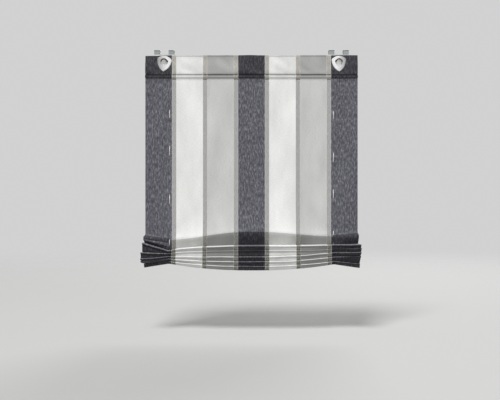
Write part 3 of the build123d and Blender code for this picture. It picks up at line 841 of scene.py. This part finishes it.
def make_cloth():
    """The striped cloth, one sheet from the heading's back to the hem, and its length."""
    places = strip_columns()
    columns = [column(x) for x, _ in places]
    rows = len(columns[0])
    region_at = region_finder(columns[0])
    vertices, lengths = [], []
    for (x, _), points in zip(places, columns):
        vertices += [hang(x, d, z) for d, z in points]
        lengths.append(0.0)
        for a, b in zip(points, points[1:]):
            lengths.append(lengths[-1] + math.dist(a, b))
    faces, slots = [], []
    for index, (left, kind) in enumerate(places[:-1]):
        x = (left + places[index + 1][0]) / 2
        for row in range(rows - 1):
            if in_eyelet_hole(x, columns[index][row][1]):
                continue
            corner = index * rows + row
            faces.append((corner, corner + 1, corner + rows + 1, corner + rows))
            # The face's material carries its region's painted light and shade
            region = REGION_ORDER.index(region_at(row, x, kind))
            slots.append(kind + len(STRIP_KINDS) * region)
    mesh = bpy.data.meshes.new("striped_cloth")
    mesh.from_pydata(vertices, [], faces)
    for material in cloth_materials:
        mesh.materials.append(material)
    uv = mesh.uv_layers.new(name="cloth")
    for polygon, slot in zip(mesh.polygons, slots):
        polygon.material_index = slot
        polygon.use_smooth = True
        for loop in polygon.loop_indices:
            vertex = mesh.loops[loop].vertex_index
            uv.data[loop].uv = (places[vertex // rows][0] * MM, lengths[vertex] * MM)
    cloth = add_object("striped_cloth", mesh)
    thick = cloth.modifiers.new("thickness", "SOLIDIFY")
    thick.thickness = SHOWN_THICKNESS * MM
    thick.offset = 0.0
    thick.use_rim = True
    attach(cloth, "blind")
    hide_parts("fabric_panel")
    return cloth, max(lengths) * MM


# Cords, knots, springs and stitches


def tube_curve(name, points, radius, material, cyclic=False):
    curve = bpy.data.curves.new(name, "CURVE")
    curve.dimensions = "3D"
    curve.bevel_depth = radius
    curve.bevel_resolution = 3
    curve.use_fill_caps = True
    spline = curve.splines.new("NURBS")
    spline.points.add(len(points) - 1)
    for target, point in zip(spline.points, points):
        target.co = (*point, 1.0)
    spline.order_u = 3
    spline.use_endpoint_u = not cyclic
    spline.use_cyclic_u = cyclic
    spline.resolution_u = 8
    curve.materials.append(material)
    return add_object(name, curve)


def make_knot(name, place, radius):
    """An overhand knot pulled tight around the cord's end."""
    points = []
    for step in range(KNOT_STEPS):
        t = math.tau * step / KNOT_STEPS
        across = radius * KNOT_STRAND_SHARE * (math.sin(t) + 2 * math.sin(2 * t)) / KNOT_TIGHTNESS
        along = radius * KNOT_STRAND_SHARE * (math.cos(t) - 2 * math.cos(2 * t)) / KNOT_TIGHTNESS
        down = radius * KNOT_HEIGHT_SHARE * math.sin(3 * t)
        points.append((place[0] + across, place[1] + along, place[2] - down))
    knot = tube_curve(name, points, radius * KNOT_STRAND_SHARE, cord_white, cyclic=True)
    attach(knot, "blind")
    return knot


def make_cord(side):
    route = ROUTES[side]
    cord = tube_curve(f"lift_cord_{side}_braid", route, CORD_DIAMETER / 2, cord_white)
    knots = [
        make_knot(f"hem_knot_{side}", route[0], HEM_KNOT_RADIUS),
        make_knot(f"tail_knot_{side}", route[-1], TAIL_KNOT_RADIUS),
    ]
    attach(cord, "blind")
    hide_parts(f"lift_cord_{side}")


def make_spring(side):
    """A stop's coil spring, which shortens towards the end of the barrel's bore as the plunger is pressed."""
    points = []
    count = SPRING_TURNS * SPRING_STEPS
    for step in range(count + 1):
        angle = math.tau * step / SPRING_STEPS
        along = SIDES[side] * (SPRING_START + SPRING_LENGTH * step / count)
        place = (along, STOP_Y + SPRING_RADIUS * math.sin(angle), STOP_Z + SPRING_RADIUS * math.cos(angle))
        points.append(tuple(value * MM for value in place))
    wire = tube_curve(f"coil_line_{side}", points, SPRING_WIRE_RADIUS * MM, spring_wire)
    mesh = bpy.data.meshes.new_from_object(wire.evaluated_get(bpy.context.evaluated_depsgraph_get()))
    bpy.data.objects.remove(wire)
    spring = add_object(f"stop_coil_{side}", mesh)
    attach(spring, f"{side}_stop")
    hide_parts(f"stop_spring_{side}")
    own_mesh(spring)


def add_stitch(mesh, centre):
    """Adds one short stitch of thread along x, rounded at its ends, to a bmesh."""
    along, across = Vector((1, 0, 0)), Vector((0, 0, 1))
    up = along.cross(across).normalized()
    length, radius = STITCH_LENGTH * MM, STITCH_RADIUS * MM
    rings = []
    for place, size in STITCH_RINGS:
        middle = centre + along * (place * length)
        ring = []
        for step in range(STITCH_SIDES):
            angle = math.tau * step / STITCH_SIDES
            offset = across * math.cos(angle) + up * math.sin(angle)
            ring.append(mesh.verts.new(middle + offset * (radius * size)))
        rings.append(ring)
    for first, second in zip(rings, rings[1:]):
        for step in range(STITCH_SIDES):
            after = (step + 1) % STITCH_SIDES
            mesh.faces.new((first[step], first[after], second[after], second[step]))
    mesh.faces.new(list(reversed(rings[0])))
    mesh.faces.new(rings[-1])


def make_seams():
    """Lines of stitches that close the rod tunnel, front and back."""
    random.seed(STITCH_SEED)
    mesh = bmesh.new()
    surface = LAYER + STITCH_LIFT
    for height in (UPPER_SEAM + SEAM_OFFSET, LOWER_SEAM - SEAM_OFFSET):
        x = -WIDTH / 2 + SEAM_MARGIN
        while x < WIDTH / 2 - SEAM_MARGIN:
            for forward in (surface, -surface):
                wander = random.uniform(-STITCH_WANDER, STITCH_WANDER)
                add_stitch(mesh, Vector((x, -STANDOFF - forward, height + wander)) * MM)
            x += STITCH_PITCH
    data = bpy.data.meshes.new("tunnel_stitches")
    mesh.to_mesh(data)
    mesh.free()
    for polygon in data.polygons:
        polygon.use_smooth = True
    data.materials.append(seam_thread)
    seams = add_object("tunnel_stitches", data)
    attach(seams, "blind")
    return seams


# The stage


def make_stage():
    """A round floor, full under the blind and faded out into the pale world around it."""
    mesh = bpy.data.meshes.new("floor")
    turns = [math.tau * step / FLOOR_SIDES for step in range(FLOOR_SIDES)]
    rim = [(FLOOR_RADIUS * math.cos(turn), FLOOR_RADIUS * math.sin(turn), FLOOR_Z) for turn in turns]
    mesh.from_pydata(rim, [], [tuple(range(FLOOR_SIDES))])
    nodes = Nodes("floor", roughness=0.9)
    nodes.shader.inputs["Base Color"].default_value = srgb("#b4b4b3")
    away = nodes.add("ShaderNodeVectorMath", operation="LENGTH")
    nodes.join(nodes.coordinates((1.0, 1.0, 0.0), "Object"), away.inputs[0])
    fade = nodes.span(away.outputs["Value"], FLOOR_FULL, FLOOR_RADIUS, 1.0, 0.0, "SMOOTHSTEP")
    nodes.join(fade, nodes.shader.inputs["Alpha"])
    mesh.materials.append(nodes.material)
    add_object("floor", mesh)


def make_world():
    """Soft light all round; the camera, metal and clear cloth see the same world at a pale tone."""
    world = bpy.data.worlds.new("studio")
    world.use_nodes = True
    tree = world.node_tree
    background = tree.nodes["Background"]
    background.inputs["Color"].default_value = (1, 1, 1, 1)
    rays = tree.nodes.new("ShaderNodeLightPath")
    seen = rays.outputs["Is Camera Ray"]
    for kind in ("Is Glossy Ray", "Is Transmission Ray"):
        either = tree.nodes.new("ShaderNodeMath")
        either.operation = "MAXIMUM"
        tree.links.new(seen, either.inputs[0])
        tree.links.new(rays.outputs[kind], either.inputs[1])
        seen = either.outputs[0]
    strength = tree.nodes.new("ShaderNodeMapRange")
    tree.links.new(seen, strength.inputs["Value"])
    strength.inputs["To Min"].default_value = WORLD_LIGHT
    strength.inputs["To Max"].default_value = WORLD_TONE
    tree.links.new(strength.outputs["Result"], background.inputs["Strength"])
    bpy.context.scene.world = world


def make_lights():
    for name, (place, size, power) in LIGHTS.items():
        data = bpy.data.lights.new(name, "AREA")
        data.shape = "SQUARE"
        data.size = size
        data.energy = power
        lamp = add_object(name, data)
        lamp.location = place
        lamp.rotation_euler = (Vector(LIGHT_TARGET) - Vector(place)).to_track_quat("-Z", "Y").to_euler()


def make_camera():
    scene = bpy.context.scene
    scene.view_settings.view_transform = "Standard"
    camera = bpy.data.cameras.new("camera")
    camera.sensor_width = SENSOR_WIDTH
    camera.lens = SENSOR_WIDTH * CAMERA_DISTANCE / (PICTURE_WIDTH * PIXEL_MM * MM)
    camera.shift_x = PICTURE_SHIFT[0] / PICTURE_WIDTH
    camera.shift_y = PICTURE_SHIFT[1] / PICTURE_WIDTH
    eye = add_object("camera", camera)
    eye.location = (0.0, -CAMERA_DISTANCE - SCALE_PLANE, CAMERA_Z)
    eye.rotation_euler = (math.pi / 2, 0, 0)
    scene.camera = eye


def paint(material, *names):
    for name in names:
        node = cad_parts[name]
        node.data.materials.clear()
        node.data.materials.append(material)


make_lights()
make_camera()
make_world()
make_stage()
for side in SIDES:
    make_cord(side)
    make_spring(side)
    paint(steel, f"sash_hook_{side}")
    paint(silver, f"eyelet_front_{side}", f"eyelet_back_{side}")
    paint(white_plastic, f"rod_end_cap_{side}", f"stop_barrel_{side}", f"stop_plunger_{side}")
paint(aluminium, "header_rod")
cloth, cloth_length = make_cloth()
seams = make_seams()
